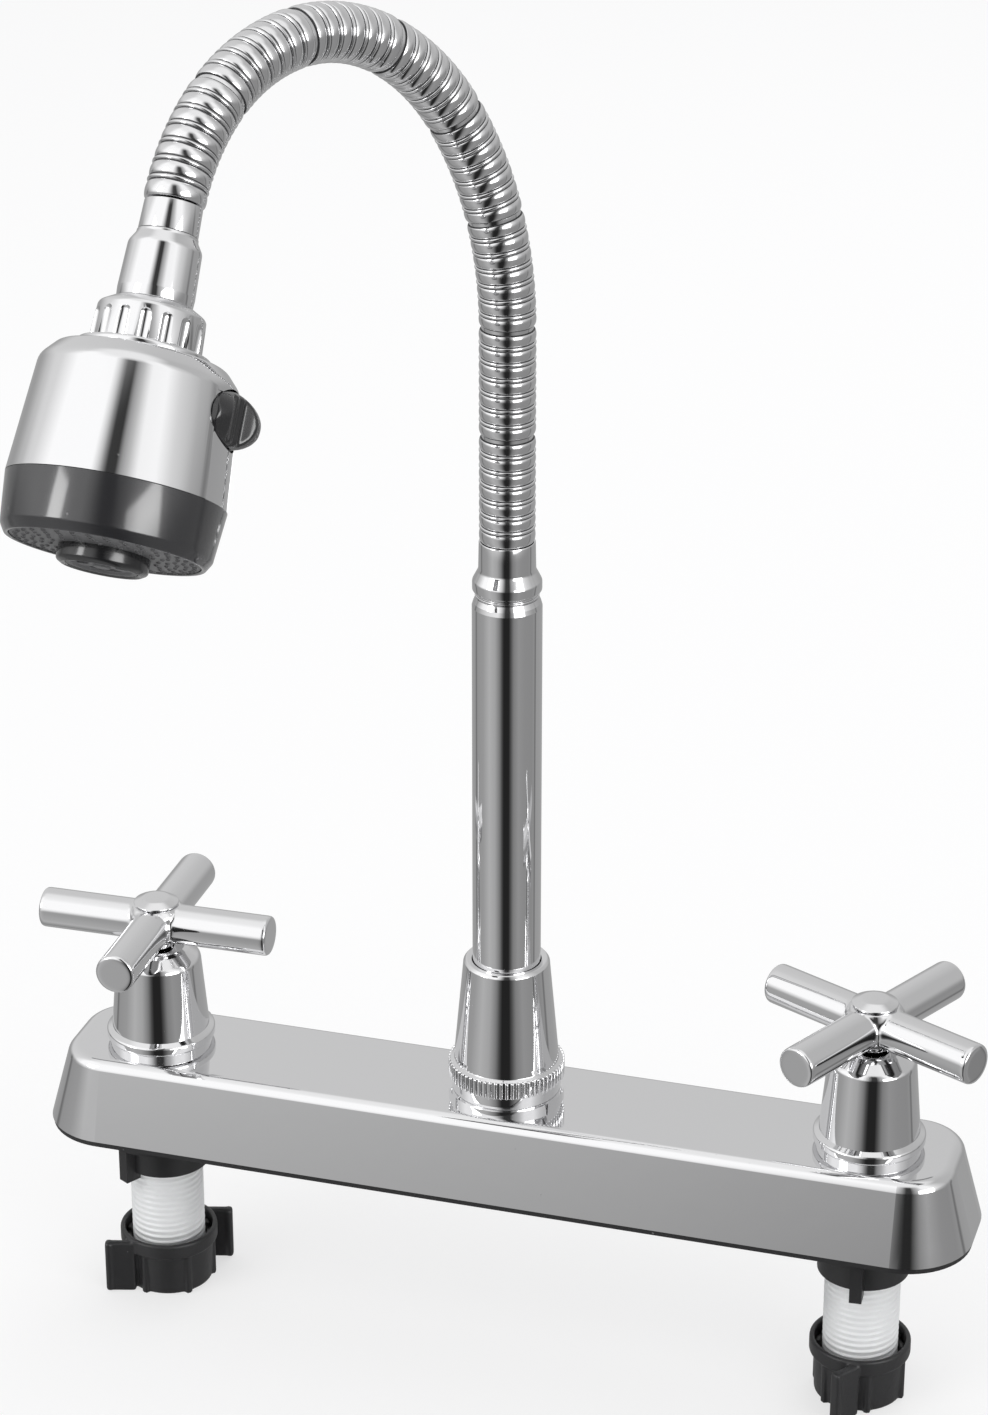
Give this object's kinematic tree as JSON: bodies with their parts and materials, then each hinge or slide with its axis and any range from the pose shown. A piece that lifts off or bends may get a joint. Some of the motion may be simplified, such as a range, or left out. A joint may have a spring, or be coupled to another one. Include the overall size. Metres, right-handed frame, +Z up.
{
  "type": "kitchen mixer tap",
  "caption": "Two-handle deck kitchen tap with a long chromed base, a bendable ribbed gooseneck on a swivel tube and a two-mode spray head.",
  "frame": {"origin": "middle of the base plate's underside, on the deck, on the spout's axis", "axes": "+Z up out of the deck, +X along the base towards the right-hand handle, +Y to the back, away from the user"},
  "size_m": [0.2689, 0.1905, 0.3883],
  "materials": {
    "plated_plastic": "bright chrome plating on moulded plastic",
    "plated_steel": "bright chrome plating on a drawn tube",
    "plated_brass": "bright chrome plating on turned brass",
    "neck_steel": "bright ribbed metal",
    "black_plastic": "black moulding with a soft sheen",
    "black_gloss": "dark satin moulding",
    "black_nylon": "black nylon",
    "white_plastic": "milky white moulding",
    "grey_plastic": "mid grey moulding",
    "rubber": "black rubber",
    "brass": "turned brass",
    "steel": "plain steel"
  },
  "bodies": {
    "base": {"base_plate": "black_plastic", "base_cover": "plated_plastic", "cover_screws": "steel", "waterway_body": "grey_plastic", "shank_left": "white_plastic", "shank_right": "white_plastic", "valve_seat_left": "rubber", "valve_seat_right": "rubber", "valve_cartridge_left": "brass", "valve_cartridge_right": "brass", "bonnet_left": "plated_plastic", "bonnet_right": "plated_plastic", "thrust_washer": "white_plastic", "collar_ring": "plated_plastic", "spout_collar": "plated_plastic"},
    "left_handle": {"handle_left": "plated_plastic", "handle_button_left": "plated_plastic", "handle_screw_left": "steel", "valve_stem_left": "brass"},
    "right_handle": {"handle_right": "plated_plastic", "handle_button_right": "plated_plastic", "handle_screw_right": "steel", "valve_stem_right": "brass"},
    "left_nut_ring": {"lock_ring_left": "black_nylon"},
    "left_nut": {"lock_nut_left": "black_nylon"},
    "right_nut_ring": {"lock_ring_right": "black_nylon"},
    "right_nut": {"lock_nut_right": "black_nylon"},
    "spout": {"spout_tube": "plated_steel", "spout_o_rings": "rubber", "spout_clip": "steel", "neck_fitting": "plated_brass", "neck_section_1": "neck_steel"},
    "neck_2": {"neck_section_2": "neck_steel"},
    "neck_3": {"neck_section_3": "neck_steel"},
    "neck_4": {"neck_section_4": "neck_steel"},
    "neck_5": {"neck_section_5": "neck_steel"},
    "neck_6": {"neck_section_6": "neck_steel"},
    "neck_7": {"neck_section_7": "neck_steel"},
    "neck_8": {"neck_section_8": "neck_steel", "neck_end_sleeve": "plated_brass", "neck_adapter": "plated_brass", "union_nut": "plated_plastic", "union_washer": "rubber"},
    "spray_head": {"head_inlet": "plated_plastic", "head_shell": "plated_plastic", "head_skirt": "black_gloss", "spray_face": "grey_plastic", "aerator_ring": "black_plastic", "aerator_insert": "grey_plastic", "diverter_body": "white_plastic", "switch_pin": "steel"},
    "switch": {"mode_switch": "black_gloss"},
    "plunger": {"diverter_plunger": "white_plastic"}
  },
  "joints": [
    {"name": "left_handle_turn", "type": "hinge", "parent": "base", "child": "left_handle", "pos_m": [-0.1016, 0, 0.06], "axis": [0, 0, 1], "range_deg": [0, 90]},
    {"name": "right_handle_turn", "type": "hinge", "parent": "base", "child": "right_handle", "pos_m": [0.1016, 0, 0.06], "axis": [0, 0, 1], "range_deg": [-90, 0]},
    {"name": "left_nut_travel", "type": "slide", "parent": "base", "child": "left_nut_ring", "axis": [0, 0, 1], "range_m": [-0.006, 0.019]},
    {"name": "left_nut_turn", "type": "hinge", "parent": "left_nut_ring", "child": "left_nut", "pos_m": [-0.1016, 0, -0.045], "axis": [0, 0, 1], "range_deg": [-1190.74, 3770.67]},
    {"name": "right_nut_travel", "type": "slide", "parent": "base", "child": "right_nut_ring", "axis": [0, 0, 1], "range_m": [-0.006, 0.019]},
    {"name": "right_nut_turn", "type": "hinge", "parent": "right_nut_ring", "child": "right_nut", "pos_m": [0.1016, 0, -0.045], "axis": [0, 0, 1], "range_deg": [-1190.74, 3770.67]},
    {"name": "spout_swivel", "type": "hinge", "parent": "base", "child": "spout", "pos_m": [0, 0, 0.03], "axis": [0, 0, 1], "continuous": true},
    {"name": "neck_bend_2", "type": "hinge", "parent": "spout", "child": "neck_2", "pos_m": [0, 0, 0.21555], "axis": [0.8988, -0.4384, 0], "range_deg": [-10, 7]},
    {"name": "neck_bend_3", "type": "hinge", "parent": "neck_2", "child": "neck_3", "pos_m": [0, 0, 0.2446], "axis": [0.8988, -0.4384, 0], "range_deg": [-10, 7]},
    {"name": "neck_bend_4", "type": "hinge", "parent": "neck_3", "child": "neck_4", "pos_m": [-0.00315, -0.00099, 0.2734], "axis": [0.8808, -0.444, 0.1644], "range_deg": [-10, 7]},
    {"name": "neck_bend_5", "type": "hinge", "parent": "neck_4", "child": "neck_5", "pos_m": [-0.0117, -0.00713, 0.30032], "axis": [0.8731, -0.4496, 0.1886], "range_deg": [-10, 7]},
    {"name": "neck_bend_6", "type": "hinge", "parent": "neck_5", "child": "neck_6", "pos_m": [-0.02428, -0.02305, 0.32063], "axis": [0.8731, -0.4496, 0.1886], "range_deg": [-10, 7]},
    {"name": "neck_bend_7", "type": "hinge", "parent": "neck_6", "child": "neck_7", "pos_m": [-0.03794, -0.04728, 0.32742], "axis": [0.8813, -0.435, 0.1846], "range_deg": [-10, 7]},
    {"name": "neck_bend_8", "type": "hinge", "parent": "neck_7", "child": "neck_8", "pos_m": [-0.04808, -0.07278, 0.31895], "axis": [0.8959, -0.3982, 0.1968], "range_deg": [-10, 7]},
    {"name": "head_swivel", "type": "hinge", "parent": "neck_8", "child": "spray_head", "pos_m": [-0.05307, -0.1112, 0.27015], "axis": [0.0266, 0.5391, 0.8418], "continuous": true},
    {"name": "switch_rock", "type": "hinge", "parent": "spray_head", "child": "switch", "pos_m": [-0.03398, -0.11746, 0.25776], "axis": [0.0266, 0.5391, 0.8418], "range_deg": [0, 36]},
    {"name": "plunger_slide", "type": "slide", "parent": "spray_head", "child": "plunger", "axis": [0.0723, -0.8409, 0.5363], "range_m": [0, 0.0039]}
  ],
  "couplings": [
    {"joint": "left_nut_travel", "follows": "left_nut_turn", "m_per_rad": 0.00028871},
    {"joint": "right_nut_travel", "follows": "right_nut_turn", "m_per_rad": 0.00028871},
    {"joint": "plunger_slide", "follows": "switch_rock", "m_per_rad": 0.0061969}
  ]
}
